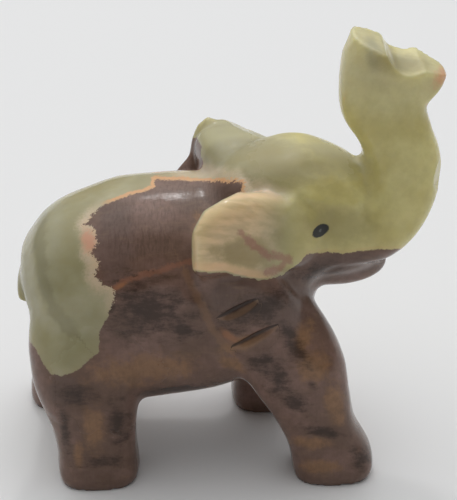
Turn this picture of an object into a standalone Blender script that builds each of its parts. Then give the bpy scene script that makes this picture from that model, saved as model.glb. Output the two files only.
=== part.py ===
"""Onyx elephant figurine with a raised trunk, carved from one piece of banded stone.

Metres, +Z up. The elephant faces +X and its left side is +Y. The origin is on the surface that it
stands on, under the middle of its box. The pose, the proportions and the carving are laid out in
units of UNIT, of which the figure is LAYOUT_HEIGHT tall, so HEIGHT alone sets how large it is.
"""

import math

import bmesh
import bpy
import numpy as np
from mathutils import Matrix, Vector
from mathutils.bvhtree import BVHTree

# Driving dimensions
HEIGHT = 0.0765
LAYOUT_HEIGHT = 76.5
UNIT = HEIGHT / LAYOUT_HEIGHT

# How finely the block is worked, in units
ROUGH_VOXEL = 0.8
FINE_VOXEL = 0.5
RING_POINTS = 28
STEPS_BETWEEN_STATIONS = 5
BLEND_STEPS = 12
POLISH_STEPS = 3
MOST_TRIANGLES = 8800
SHARP_ANGLE = 40.0

# Saw and burr cuts, in units
SLASH_HALF_WIDTH = 1.1
SLASH_DEPTH = 1.1
SLASH_RAKE = 0.35
SLASH_CLEAR = 0.6
SLASH_SECTIONS = 9
THINNEST_SECTION = 0.06
FOLD_HALF_WIDTH = 1.4
FOLD_DEPTH = 0.6
SOFT_FOLD_DEPTH = 0.3
FOLD_FADE = 0.2
LIP_OFFSET = 2.2
LIP_HEIGHT = 0.3
BROW_HALF_WIDTH = 1.2
BROW_HEIGHT = 0.45
MOUTH_HALF_WIDTH = 0.9
MOUTH_DEPTH = 0.35
MIDDLE_LEFT_PLAIN = 3.0
SIDE_BLEND = 2.0
SIDEWAYS_ENOUGH = 0.4
FACET_RIM = 0.3
SCOOP_RADIUS = 4.0
SCOOP_STEPS = 12
LEFT_EAR_FORWARD = 1.6

# Directions
UP = Vector((0.0, 0.0, 1.0))
ACROSS_BODY = (0.0, 1.0, 0.0)
ALONG_EAR = (-0.91, -0.42, 0.0)

# Each station is x, y, z of the centre, half size in the middle plane, half size across, squareness.
TORSO = (
    (-33.6, 0.3, 27.0, 4.6, 4.5, 2.0),
    (-32.5, 0.3, 27.4, 8.9, 9.0, 2.1),
    (-29.8, 0.3, 28.3, 13.3, 12.6, 2.2),
    (-25.2, 0.0, 29.4, 17.1, 15.0, 2.2),
    (-18.0, 0.0, 29.9, 19.6, 15.8, 2.2),
    (-10.0, 0.0, 30.6, 19.8, 16.0, 2.2),
    (-2.0, 0.0, 31.4, 18.9, 15.6, 2.2),
    (5.0, 0.0, 32.0, 16.4, 13.6, 2.1),
    (11.0, 0.0, 33.0, 11.5, 10.4, 2.0),
    (14.2, 0.0, 33.5, 5.0, 5.0, 2.0),
)
SHOULDER = (
    (-1.5, -8.5, 43.5, 4.0, 4.0, 2.0),
    (-0.4, -9.4, 40.0, 6.8, 6.4, 2.3),
    (1.4, -9.6, 34.0, 8.4, 7.2, 2.5),
    (4.4, -9.4, 27.0, 9.0, 6.8, 2.4),
    (7.0, -9.0, 21.0, 7.0, 5.5, 2.2),
)
NECK = (
    (-6.0, 0.0, 39.0, 8.0, 9.0, 2.0),
    (1.0, 0.0, 41.0, 11.0, 11.0, 2.1),
    (8.0, 0.0, 42.0, 11.5, 10.6, 2.2),
    (15.0, 0.0, 42.5, 9.5, 9.6, 2.2),
    (19.0, 0.0, 42.5, 6.0, 6.0, 2.0),
)
CROWN = (
    (-3.5, 0.0, 44.5, 4.5, 6.0, 2.0),
    (1.0, 0.0, 45.0, 9.0, 9.2, 2.3),
    (6.0, 0.0, 45.5, 10.6, 10.0, 2.6),
    (11.0, 0.0, 45.5, 11.8, 9.8, 2.8),
    (16.0, 0.0, 45.0, 10.5, 9.2, 2.8),
    (21.0, 0.0, 44.5, 8.4, 8.2, 2.6),
    (24.5, 0.0, 44.5, 4.5, 5.0, 2.2),
)
TRUNK = (
    (5.0, 0.0, 42.0, 6.0, 8.0, 2.2),
    (12.0, 0.0, 41.6, 7.6, 9.4, 2.3),
    (19.0, 0.0, 41.6, 7.5, 8.9, 2.5),
    (24.6, 0.0, 43.2, 7.2, 7.6, 2.6),
    (27.8, 0.0, 47.6, 6.9, 6.7, 2.7),
    (29.0, 0.0, 53.4, 6.4, 6.0, 2.8),
    (27.1, 0.0, 59.6, 6.1, 5.5, 2.8),
    (24.9, 0.0, 64.2, 6.8, 5.3, 2.8),
    (25.4, 0.0, 67.4, 7.9, 5.3, 2.8),
    (26.6, 0.0, 70.4, 8.9, 5.2, 2.8),
    (27.2, 0.0, 73.6, 8.2, 4.9, 2.8),
    (27.6, 0.0, 79.5, 7.6, 4.4, 2.8),
)
LOWER_JAW = (
    (10.0, 0.0, 37.0, 5.0, 7.0, 2.0),
    (16.0, 0.0, 35.3, 4.6, 6.0, 2.1),
    (21.5, 0.0, 34.6, 3.9, 4.9, 2.2),
    (25.2, 0.0, 34.8, 2.7, 3.6, 2.2),
    (26.9, 0.0, 35.3, 1.5, 2.3, 2.0),
)
TAIL = (
    (-21.0, 0.4, 45.0, 1.6, 1.8, 2.0),
    (-27.0, 0.4, 42.4, 2.0, 2.1, 2.2),
    (-30.8, 0.4, 38.9, 2.1, 2.1, 2.4),
    (-33.0, 0.4, 35.2, 2.2, 2.1, 2.6),
    (-34.0, 0.4, 31.8, 2.2, 2.1, 2.8),
    (-34.3, 0.4, 28.2, 2.1, 2.0, 3.0),
)
REAR_RIGHT_LEG = (
    (-20.5, -6.5, 33.0, 9.0, 6.0, 2.0),
    (-23.2, -8.4, 26.0, 11.0, 7.8, 2.1),
    (-24.4, -10.0, 19.0, 9.6, 7.6, 2.3),
    (-23.8, -11.2, 12.0, 7.6, 6.8, 2.6),
    (-23.4, -11.8, 6.0, 6.9, 6.2, 2.9),
    (-23.2, -12.0, 1.8, 7.2, 6.3, 3.1),
    (-23.2, -12.0, 0.6, 7.1, 6.2, 3.1),
    (-23.2, -12.0, -1.0, 6.2, 5.3, 3.1),
)
REAR_LEFT_LEG = (
    (-21.0, 6.5, 33.0, 9.0, 6.0, 2.0),
    (-23.6, 8.4, 26.0, 10.4, 7.8, 2.1),
    (-25.2, 10.0, 19.0, 8.8, 7.6, 2.3),
    (-26.6, 11.2, 12.0, 7.2, 6.8, 2.6),
    (-28.4, 11.8, 6.0, 6.9, 6.2, 2.9),
    (-29.2, 12.0, 1.8, 7.2, 6.3, 3.1),
    (-29.2, 12.0, 0.6, 7.1, 6.2, 3.1),
    (-29.2, 12.0, -1.0, 6.2, 5.3, 3.1),
)
FRONT_RIGHT_LEG = (
    (4.0, -6.5, 32.0, 7.0, 6.0, 2.0),
    (7.6, -8.6, 26.0, 8.4, 6.8, 2.1),
    (11.2, -10.6, 19.5, 8.4, 6.6, 2.3),
    (13.6, -11.8, 13.5, 7.0, 6.2, 2.6),
    (15.4, -12.6, 8.0, 6.2, 5.9, 2.9),
    (17.3, -13.0, 2.6, 7.1, 6.1, 3.1),
    (17.5, -13.0, 0.8, 7.1, 6.0, 3.1),
    (17.6, -13.0, -1.0, 6.2, 5.1, 3.1),
)
FRONT_LEFT_LEG = (
    (1.0, 5.5, 35.0, 7.0, 6.0, 2.0),
    (3.0, 7.5, 28.0, 8.4, 7.0, 2.1),
    (5.0, 8.8, 21.0, 8.4, 6.8, 2.3),
    (6.6, 9.0, 14.5, 7.2, 6.3, 2.6),
    (7.4, 9.0, 8.5, 6.3, 5.9, 2.9),
    (7.8, 9.0, 2.6, 6.9, 6.1, 3.1),
    (7.8, 9.0, 0.8, 6.9, 6.0, 3.1),
    (7.8, 9.0, -1.0, 6.0, 5.1, 3.1),
)
# The right ear; the left one mirrors it.
EAR = (
    (15.0, -5.0, 44.4, 5.0, 3.6, 2.0),
    (11.0, -7.4, 44.8, 6.6, 4.2, 2.2),
    (6.4, -10.0, 45.6, 7.2, 4.1, 2.4),
    (2.0, -12.6, 47.0, 7.4, 3.7, 2.6),
    (-1.6, -14.5, 47.7, 6.8, 3.0, 2.8),
    (-4.0, -15.7, 47.3, 6.0, 2.4, 2.8),
    (-5.4, -16.4, 46.6, 5.0, 1.9, 2.8),
    (-6.4, -16.8, 46.1, 4.1, 1.5, 2.8),
)
# The stone left between each ear and the neck.
EAR_BACKING = (
    (6.4, -8.6, 44.4, 6.6, 4.0, 2.2),
    (1.0, -11.0, 45.0, 6.2, 4.2, 2.2),
    (-3.6, -12.4, 43.8, 5.2, 3.8, 2.2),
    (-5.8, -13.0, 42.4, 3.6, 3.2, 2.2),
)
# The left ear's own upper corner, and the stone that runs from its rear edge into the back.
LEFT_EAR_CORNER = (
    (3.0, 13.0, 49.8, 2.2, 1.6, 2.0),
    (-0.6, 14.4, 52.1, 1.9, 1.5, 2.0),
    (-3.4, 15.4, 54.3, 0.9, 0.9, 2.0),
)
LEFT_EAR_HEEL = (
    (-3.6, 15.2, 53.6, 0.9, 0.9, 2.0),
    (-4.4, 14.6, 50.8, 1.3, 1.2, 2.0),
    (-4.4, 13.4, 47.6, 2.0, 1.8, 2.0),
    (-6.2, 12.4, 45.0, 2.4, 2.0, 2.0),
    (-9.0, 11.6, 42.4, 2.2, 1.8, 2.0),
)
# The stone left between the left ear's back and the crown.
LEFT_EAR_SADDLE = (
    (4.6, 1.0, 47.6, 5.0, 6.0, 2.4),
    (3.8, 4.0, 49.0, 5.6, 6.6, 2.8),
    (3.0, 7.0, 49.6, 5.4, 6.8, 3.0),
    (1.4, 10.0, 49.9, 4.9, 6.5, 3.0),
    (-0.2, 13.0, 50.1, 4.3, 5.4, 2.8),
    (-1.0, 15.0, 49.8, 3.6, 4.4, 2.6),
)

# Lines of carving on the sides, as x and z.
UPPER_SLASH = ((-2.7, 33.0), (4.1, 37.0))
LOWER_SLASH = ((-0.5, 27.0), (7.4, 31.7))
SHOULDER_FOLD = ((-7.2, 42.6), (-4.6, 36.0), (-1.9, 29.5), (1.1, 23.6), (-0.8, 17.6))
ELBOW_FOLD = ((1.1, 23.6), (4.6, 23.8), (8.6, 26.2))
BROW = ((7.2, 50.0), (9.5, 51.6), (11.4, 52.1), (14.7, 50.6), (18.5, 49.6), (21.8, 49.1))
MOUTH = ((27.4, 35.6), (23.4, 37.0), (18.6, 37.4), (14.6, 36.6))
TRUNK_ROOT_FOLD = ((20.6, 56.0), (23.0, 52.2), (22.6, 48.6), (21.2, 46.4))

# Planes ground flat: a point on the plane, the way that it faces, and how far it reaches.
FACETS_BOTH_SIDES = (
    ((-6.6, -17.5, 46.6), (-0.78, -0.62, 0.05), 6.0),
    ((30.8, -4.7, 69.0), (0.48, -0.86, -0.10), 5.0),
    ((20.6, -5.2, 68.0), (-0.60, -0.80, 0.0), 6.0),
)
FACETS = (
    ((-1.7, -14.5, 54.4), (-0.485, 0.478, 0.735), 8.0),
    ((-5.9, -16.8, 51.4), (-0.85, 0.25, 0.42), 5.0),
    ((4.0, 13.0, 53.2), (0.396, 0.303, 0.867), 7.5),
    ((33.3, 0.0, 59.8), (0.96, 0.0, 0.28), 2.6),
    ((35.1, 0.0, 55.4), (0.99, 0.0, 0.10), 2.6),
    ((23.2, -12.8, 6.5), (0.86, 0.0, 0.50), 5.0),
    ((-30.3, -15.4, 8.0), (-0.75, -0.66, 0.0), 7.0),
    ((-16.9, -16.0, 8.0), (0.75, -0.66, 0.0), 6.0),
)

# The hollow at the trunk's tip, seen from the side: the far corner and the lip that slopes forward.
SCOOP_CENTRE = (28.9, 75.0)
SCOOP_FRONT_ANGLE = -52.0
LIP_SLOPE = ((35.3, 69.5), (39.0, 66.6))
SCOOP_TILT = 4.0
TIP_PLANE = ((20.4, 0.0, 76.1), (0.42, -0.03, 0.93))
CUTTER_REACH = 12.0


def sized(rows):
    """Layout numbers as metres."""
    return np.array(rows, float) * UNIT


def spline(rows, steps):
    """Rows of numbers on a Catmull-Rom curve through the given rows, steps of them for each gap."""
    rows = np.array(rows, float)
    ends = np.vstack([2 * rows[0] - rows[1], rows, 2 * rows[-1] - rows[-2]])
    made = []
    for a, b, c, d in zip(ends, ends[1:], ends[2:], ends[3:]):
        for t in np.arange(steps) / steps:
            bend = (2 * a - 5 * b + 4 * c - d) * t**2 + (3 * b - a - 3 * c + d) * t**3
            made.append(b + 0.5 * ((c - a) * t + bend))
    return np.array(made + [rows[-1]])


def ring(bm, station, along, across):
    """One superellipse ring of vertices, square to along."""
    rise = along.cross(across).normalized()
    across = rise.cross(along).normalized()
    half_rise, half_across, squareness = station[3:]
    made = []
    for i in range(RING_POINTS):
        turn = 2 * math.pi * i / RING_POINTS
        c, s = math.cos(turn), math.sin(turn)
        u = math.copysign(abs(c) ** (2 / squareness), c) * half_rise
        v = math.copysign(abs(s) ** (2 / squareness), s) * half_across
        made.append(bm.verts.new((Vector(station[:3]) + rise * u + across * v) * UNIT))
    return made


def add_limb(bm, stations, along=None, mirror=False, forward=0.0):
    """A closed tube through the stations, added to bm. Its rings are square to its run, or to along."""
    rows = spline(stations, STEPS_BETWEEN_STATIONS)
    rows[:, 0] += forward
    across = Vector(ACROSS_BODY)
    if along:
        across = Vector(along).cross(UP)
    if mirror:
        rows[:, 1] *= -1
        across.x *= -1
    start = len(bm.faces)
    rings = []
    for i, row in enumerate(rows):
        before, after = rows[max(i - 1, 0)], rows[min(i + 1, len(rows) - 1)]
        run = Vector(after[:3] - before[:3])
        if along:
            run.z = 0
        rings.append(ring(bm, row, run.normalized(), across))
    for lower, upper in zip(rings, rings[1:]):
        for i in range(RING_POINTS):
            j = (i + 1) % RING_POINTS
            bm.faces.new((lower[i], lower[j], upper[j], upper[i]))
    bm.faces.new(list(reversed(rings[0])))
    bm.faces.new(rings[-1])
    bm.faces.ensure_lookup_table()
    bmesh.ops.recalc_face_normals(bm, faces=bm.faces[start:])


def mesh_object(name, bm):
    mesh = bpy.data.meshes.new(name)
    bm.to_mesh(mesh)
    bm.free()
    obj = bpy.data.objects.new(name, mesh)
    bpy.context.scene.collection.objects.link(obj)
    return obj


def applied(obj):
    """Gives obj the mesh that its modifiers make, and removes them."""
    graph = bpy.context.evaluated_depsgraph_get()
    made = bpy.data.meshes.new_from_object(obj.evaluated_get(graph))
    obj.modifiers.clear()
    obj.data = made
    return obj


def fuse(obj, voxel, smoothing):
    """Makes one skin of the closed shapes in obj, and rubs it smooth."""
    remesh = obj.modifiers.new("Fuse", "REMESH")
    remesh.mode = "VOXEL"
    remesh.voxel_size = voxel * UNIT
    smooth = obj.modifiers.new("Rub", "SMOOTH")
    smooth.iterations = smoothing
    return applied(obj)


def rough_block():
    """Body, legs, head and trunk, blended into each other."""
    bm = bmesh.new()
    for stations in (TORSO, NECK, CROWN, TRUNK, LOWER_JAW, SHOULDER):
        add_limb(bm, stations)
    for stations in (REAR_RIGHT_LEG, REAR_LEFT_LEG, FRONT_RIGHT_LEG, FRONT_LEFT_LEG):
        add_limb(bm, stations)
    add_limb(bm, SHOULDER, mirror=True)
    return fuse(mesh_object("elephant", bm), ROUGH_VOXEL, BLEND_STEPS)


def add_ears_and_tail(elephant):
    bm = bmesh.new()
    bm.from_mesh(elephant.data)
    for mirror, forward in ((False, 0.0), (True, LEFT_EAR_FORWARD)):
        add_limb(bm, EAR, ALONG_EAR, mirror, forward)
        add_limb(bm, EAR_BACKING, ALONG_EAR, mirror, forward)
    for stations in (LEFT_EAR_CORNER, LEFT_EAR_HEEL, TAIL):
        add_limb(bm, stations)
    add_limb(bm, LEFT_EAR_SADDLE, ACROSS_BODY)
    bm.to_mesh(elephant.data)
    bm.free()
    fuse(elephant, FINE_VOXEL, POLISH_STEPS)


def near_path(points, path):
    """How far each point is from a side line, signed, and how far along it, from 0 to 1."""
    flat = points[:, [0, 2]]
    path = np.array(path, float)
    total = np.linalg.norm(np.diff(path, axis=0), axis=1).sum()
    nearest = np.full(len(points), np.inf)
    share = np.zeros(len(points))
    done = 0.0
    for a, b in zip(path, path[1:]):
        length = np.linalg.norm(b - a)
        run = (b - a) / length
        t = np.clip((flat - a) @ run, 0.0, length)
        offset = flat - a - t[:, None] * run
        gap = np.copysign(np.linalg.norm(offset, axis=1), offset @ np.array((-run[1], run[0])))
        closer = np.abs(gap) < np.abs(nearest)
        nearest[closer] = gap[closer]
        share[closer] = (done + t[closer]) / total
        done += length
    return nearest, share


def fold(points, path, half_width, depth, offset=0.0):
    """A soft groove along a side line, or beside it, that fades out at both ends."""
    gap, share = near_path(points, path)
    fade = np.clip(np.minimum(share, 1 - share) / FOLD_FADE, 0, 1)
    return depth * fade * np.exp(-(((gap - offset) / half_width) ** 2))


def grind(points, at, facing, reach):
    """Flattens what stands proud of a plane, near a point of it."""
    facing = np.array(facing) / np.linalg.norm(facing)
    offset = points - np.array(at)
    proud = np.clip(offset @ facing, 0, None)
    near = np.clip((reach - np.linalg.norm(offset, axis=1)) / (FACET_RIM * reach), 0, 1)
    points -= (proud * near)[:, None] * facing


def carve(elephant):
    """The lines and facets that the carver cut, on both sides of the figure."""
    mesh = elephant.data
    count = len(mesh.vertices)
    points = np.empty(count * 3)
    normals = np.empty(count * 3)
    mesh.vertices.foreach_get("co", points)
    mesh.vertices.foreach_get("normal", normals)
    points = points.reshape(-1, 3) / UNIT
    normals = normals.reshape(-1, 3)
    on_side = np.clip((np.abs(points[:, 1]) - MIDDLE_LEFT_PLAIN) / SIDE_BLEND, 0, 1)
    on_side *= np.clip(np.abs(normals[:, 1]) / SIDEWAYS_ENOUGH, 0, 1)
    depth = fold(points, SHOULDER_FOLD, FOLD_HALF_WIDTH, FOLD_DEPTH)
    depth -= fold(points, SHOULDER_FOLD, FOLD_HALF_WIDTH, LIP_HEIGHT, -LIP_OFFSET)
    depth += fold(points, ELBOW_FOLD, FOLD_HALF_WIDTH, SOFT_FOLD_DEPTH)
    depth += fold(points, TRUNK_ROOT_FOLD, FOLD_HALF_WIDTH, SOFT_FOLD_DEPTH)
    depth += fold(points, MOUTH, MOUTH_HALF_WIDTH, MOUTH_DEPTH)
    depth -= fold(points, BROW, BROW_HALF_WIDTH, BROW_HEIGHT)
    points -= (depth * on_side)[:, None] * normals
    for at, facing, reach in FACETS:
        grind(points, at, facing, reach)
    for at, facing, reach in FACETS_BOTH_SIDES:
        for side in (1, -1):
            grind(points, (at[0], side * at[1], at[2]), (facing[0], side * facing[1], facing[2]), reach)
    mesh.vertices.foreach_set("co", (points * UNIT).ravel())
    mesh.update()


def scoop_cutter():
    """The block that leaves the trunk's tip hollow, with a lip that slopes down to the front."""
    outline = []
    for i in range(SCOOP_STEPS + 1):
        turn = math.radians(180 + (180 + SCOOP_FRONT_ANGLE) * i / SCOOP_STEPS)
        x = SCOOP_CENTRE[0] + SCOOP_RADIUS * math.cos(turn)
        z = SCOOP_CENTRE[1] + SCOOP_RADIUS * math.sin(turn)
        outline.append((x, z))
    outline += LIP_SLOPE
    top = SCOOP_CENTRE[1] + CUTTER_REACH
    outline += [(LIP_SLOPE[-1][0], top), (outline[0][0], top)]
    bm = bmesh.new()
    corners = [bm.verts.new((x * UNIT, -CUTTER_REACH * UNIT, z * UNIT)) for x, z in outline]
    face = bm.faces.new(corners)
    bmesh.ops.recalc_face_normals(bm, faces=bm.faces[:])
    made = bmesh.ops.extrude_face_region(bm, geom=[face])
    moved = [item for item in made["geom"] if isinstance(item, bmesh.types.BMVert)]
    bmesh.ops.translate(bm, verts=moved, vec=(0, 2 * CUTTER_REACH * UNIT, 0))
    bmesh.ops.recalc_face_normals(bm, faces=bm.faces[:])
    about = Vector((SCOOP_CENTRE[0], 0, SCOOP_CENTRE[1])) * UNIT
    turn = Matrix.Rotation(math.radians(SCOOP_TILT), 3, "X")
    bmesh.ops.rotate(bm, cent=about, matrix=turn, verts=bm.verts)
    return mesh_object("scoop_cutter", bm)


def slash_cutter(elephant, path, side):
    """A lens-shaped wedge that follows the skin, with its steeper wall above."""
    skin = BVHTree.FromObject(elephant, bpy.context.evaluated_depsgraph_get())
    start, end = (Vector((x, 0, z)) * UNIT for x, z in path)
    run = (end - start).normalized()
    upward = Vector((-run.z, 0, run.x))
    inward = Vector((0, -side, 0))
    bm = bmesh.new()
    sections = []
    for i in range(SLASH_SECTIONS):
        share = i / (SLASH_SECTIONS - 1)
        swell = max(math.sqrt(4 * share * (1 - share)), THINNEST_SECTION)
        ray = start.lerp(end, share) - inward * HEIGHT
        at = skin.ray_cast(ray, inward)[0]
        wide = upward * (SLASH_HALF_WIDTH * swell * UNIT)
        deep = inward * (SLASH_DEPTH * swell * UNIT)
        bottom = at + SLASH_RAKE * wide + deep
        above = at + wide + SLASH_CLEAR * (at + wide - bottom)
        below = at - wide + SLASH_CLEAR * (at - wide - bottom)
        sections.append([bm.verts.new(corner) for corner in (above, bottom, below)])
    for one, two in zip(sections, sections[1:]):
        for i in range(3):
            j = (i + 1) % 3
            bm.faces.new((one[i], one[j], two[j], two[i]))
    bm.faces.new(sections[0])
    bm.faces.new(sections[-1])
    bmesh.ops.recalc_face_normals(bm, faces=bm.faces[:])
    return mesh_object("slash_cutter", bm)


def cut_away(elephant, cutter):
    cut = elephant.modifiers.new("Cut", "BOOLEAN")
    cut.operation = "DIFFERENCE"
    cut.object = cutter
    applied(elephant)
    bpy.data.objects.remove(cutter)


def cut_flat(bm, at, facing):
    """Saws the block off square to facing."""
    geom = bm.verts[:] + bm.edges[:] + bm.faces[:]
    made = bmesh.ops.bisect_plane(bm, geom=geom, plane_co=at, plane_no=facing, clear_outer=True)
    rim = [item for item in made["geom_cut"] if isinstance(item, bmesh.types.BMEdge)]
    bmesh.ops.holes_fill(bm, edges=rim)


def saw_tip(elephant):
    bm = bmesh.new()
    bm.from_mesh(elephant.data)
    cut_flat(bm, sized(TIP_PLANE[0]), TIP_PLANE[1])
    bm.to_mesh(elephant.data)
    bm.free()


def facet_down(elephant):
    """Fewer, larger faces, flat where the stone is."""
    elephant.modifiers.new("Triangles", "TRIANGULATE")
    applied(elephant)
    fewer = elephant.modifiers.new("Fewer", "DECIMATE")
    fewer.ratio = min(1.0, MOST_TRIANGLES / len(elephant.data.polygons))
    fewer.use_collapse_triangulate = True
    applied(elephant)


def level_soles(elephant):
    """Cuts the feet flat on the floor and puts the origin under the middle of the box."""
    bm = bmesh.new()
    bm.from_mesh(elephant.data)
    cut_flat(bm, (0, 0, 0), (0, 0, -1))
    bmesh.ops.triangulate(bm, faces=bm.faces[:])
    places = np.array([vert.co for vert in bm.verts])
    middle = (places.min(axis=0) + places.max(axis=0)) / 2
    bmesh.ops.translate(bm, verts=bm.verts, vec=(-middle[0], -middle[1], 0))
    bm.to_mesh(elephant.data)
    bm.free()


def onyx():
    material = bpy.data.materials.new("onyx")
    material.use_nodes = True
    shader = material.node_tree.nodes["Principled BSDF"]
    shader.inputs["Base Color"].default_value = (0.22, 0.17, 0.10, 1)
    shader.inputs["Roughness"].default_value = 0.18
    shader.inputs["Metallic"].default_value = 0.0
    return material


def main():
    for obj in list(bpy.data.objects):
        bpy.data.objects.remove(obj)
    elephant = rough_block()
    add_ears_and_tail(elephant)
    carve(elephant)
    facet_down(elephant)
    cut_away(elephant, scoop_cutter())
    saw_tip(elephant)
    for side in (1, -1):
        for path in (UPPER_SLASH, LOWER_SLASH):
            cut_away(elephant, slash_cutter(elephant, path, side))
    level_soles(elephant)
    elephant.data.shade_smooth()
    elephant.data.set_sharp_from_angle(angle=math.radians(SHARP_ANGLE))
    elephant.data.materials.clear()
    elephant.data.materials.append(onyx())


main()
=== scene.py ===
"""Onyx elephant figurine: the polished, banded stone around its solid, on a plain pale floor.

The figure is carved again here from the same stations as its solid, in layout units of UNIT, with
a finer skin, and is stained by how deep each point lies in the layers of the stone.
"""
import math

import bmesh
import bpy
import numpy as np
from mathutils import Matrix, Vector, noise
from mathutils.bvhtree import BVHTree


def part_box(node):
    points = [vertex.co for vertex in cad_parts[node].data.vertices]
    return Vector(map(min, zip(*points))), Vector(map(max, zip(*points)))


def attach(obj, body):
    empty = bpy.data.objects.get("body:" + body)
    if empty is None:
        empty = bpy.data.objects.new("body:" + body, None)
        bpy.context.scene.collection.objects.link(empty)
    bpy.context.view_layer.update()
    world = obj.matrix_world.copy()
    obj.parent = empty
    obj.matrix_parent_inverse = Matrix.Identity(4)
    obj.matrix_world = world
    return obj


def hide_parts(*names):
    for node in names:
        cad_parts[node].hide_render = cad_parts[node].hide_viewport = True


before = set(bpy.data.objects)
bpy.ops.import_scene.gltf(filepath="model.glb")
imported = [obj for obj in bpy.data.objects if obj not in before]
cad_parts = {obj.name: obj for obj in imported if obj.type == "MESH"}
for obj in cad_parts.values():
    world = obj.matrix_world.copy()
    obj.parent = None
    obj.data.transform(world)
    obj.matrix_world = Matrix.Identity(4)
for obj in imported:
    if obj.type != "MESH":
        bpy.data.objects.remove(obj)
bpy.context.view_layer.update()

bl_info = {
    "name": "Onyx Elephant",
    "version": (1, 0, 0),
    "blender": (4, 5, 0),
    "location": "View3D > Sidebar > Onyx",
    "description": "Carves and polishes a small elephant of banded onyx",
    "category": "Object",
}

# The solid that the finished stone stands for
NODE = "elephant"
BODY = "root"
LOW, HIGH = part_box(NODE)
LAYOUT_HEIGHT = 76.5
UNIT = (HIGH.z - LOW.z) / LAYOUT_HEIGHT

# How finely the block is worked, in units
ROUGH_VOXEL = 0.8
SHAPE_VOXEL = 0.5
RING_POINTS = 28
STEPS_BETWEEN_STATIONS = 5
BLEND_STEPS = 12
POLISH_STEPS = 3
RUB_STEPS = 2

# Saw and burr cuts, in units
SLASH_HALF_WIDTH = 1.1
SLASH_DEPTH = 1.1
SLASH_RAKE = 0.35
SLASH_CLEAR = 0.6
SLASH_SECTIONS = 9
LEAST_SWELL = 0.01
OFF_SLASH = 3.0
THINNEST_SECTION = 0.06
FOLD_HALF_WIDTH = 1.4
FOLD_DEPTH = 0.6
SOFT_FOLD_DEPTH = 0.3
FOLD_FADE = 0.2
LIP_OFFSET = 2.2
LIP_HEIGHT = 0.3
BROW_HALF_WIDTH = 0.7
BROW_HEIGHT = 0.45
MOUTH_HALF_WIDTH = 0.9
MOUTH_DEPTH = 0.35
MIDDLE_LEFT_PLAIN = 3.0
SIDE_BLEND = 2.0
SIDEWAYS_ENOUGH = 0.4
FACET_RIM = 0.3
SCOOP_RADIUS = 4.0
SCOOP_STEPS = 12
LEFT_EAR_FORWARD = 1.6

# Directions
UP = Vector((0.0, 0.0, 1.0))
ACROSS_BODY = (0.0, 1.0, 0.0)
ALONG_EAR = (-0.91, -0.42, 0.0)

# Each station is x, y, z of the centre, half size in the middle plane and across, squareness.
TORSO = (
    (-33.6, 0.3, 27, 4.6, 4.5, 2),
    (-32.5, 0.3, 27.4, 8.9, 9, 2.1),
    (-29.8, 0.3, 28.3, 13.3, 12.6, 2.2),
    (-25.2, 0, 29.4, 17.1, 15, 2.2),
    (-18, 0, 29.9, 19.6, 15.8, 2.2),
    (-10, 0, 30.6, 19.8, 16, 2.2),
    (-2, 0, 31.4, 18.9, 15.6, 2.2),
    (5, 0, 32, 16.4, 13.6, 2.1),
    (11, 0, 33, 11.5, 10.4, 2),
    (14.2, 0, 33.5, 5, 5, 2),
)
SHOULDER = (
    (-1.5, -8.5, 43.5, 4, 4, 2),
    (-0.4, -9.4, 40, 6.8, 6.4, 2.3),
    (1.4, -9.6, 34, 8.4, 7.2, 2.5),
    (4.4, -9.4, 27, 9, 6.8, 2.4),
    (7, -9, 21, 7, 5.5, 2.2),
)
NECK = (
    (-6, 0, 39, 8, 9, 2),
    (1, 0, 41, 11, 11, 2.1),
    (8, 0, 42, 11.5, 10.6, 2.2),
    (15, 0, 42.5, 9.5, 9.6, 2.2),
    (19, 0, 42.5, 6, 6, 2),
)
CROWN = (
    (-3.5, 0, 44.5, 4.5, 6, 2),
    (1, 0, 45, 9, 9.2, 2.3),
    (6, 0, 45.5, 10.6, 10, 2.6),
    (11, 0, 45.5, 11.8, 9.8, 2.8),
    (16, 0, 45, 10.5, 9.2, 2.8),
    (21, 0, 44.5, 8.4, 8.2, 2.6),
    (24.5, 0, 44.5, 4.5, 5, 2.2),
)
TRUNK = (
    (5, 0, 42, 6, 8, 2.2),
    (12, 0, 41.6, 7.6, 9.4, 2.3),
    (19, 0, 41.6, 7.5, 8.9, 2.5),
    (24.6, 0, 43.2, 7.2, 7.6, 2.6),
    (27.8, 0, 47.6, 6.9, 6.7, 2.7),
    (29, 0, 53.4, 6.4, 6, 2.8),
    (27.1, 0, 59.6, 6.1, 5.5, 2.8),
    (24.9, 0, 64.2, 6.8, 5.3, 2.8),
    (25.4, 0, 67.4, 7.9, 5.3, 2.8),
    (26.6, 0, 70.4, 8.9, 5.2, 2.8),
    (27.2, 0, 73.6, 8.2, 4.9, 2.8),
    (27.6, 0, 79.5, 7.6, 4.4, 2.8),
)
LOWER_JAW = (
    (10, 0, 37, 5, 7, 2),
    (16, 0, 35.3, 4.6, 6, 2.1),
    (21.5, 0, 34.6, 3.9, 4.9, 2.2),
    (25.2, 0, 34.8, 2.7, 3.6, 2.2),
    (26.9, 0, 35.3, 1.5, 2.3, 2),
)
TAIL = (
    (-21, 0.4, 45, 1.6, 1.8, 2),
    (-27, 0.4, 42.4, 2, 2.1, 2.2),
    (-30.8, 0.4, 38.9, 2.1, 2.1, 2.4),
    (-33, 0.4, 35.2, 2.2, 2.1, 2.6),
    (-34, 0.4, 31.8, 2.2, 2.1, 2.8),
    (-34.3, 0.4, 28.2, 2.1, 2, 3),
)
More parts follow.
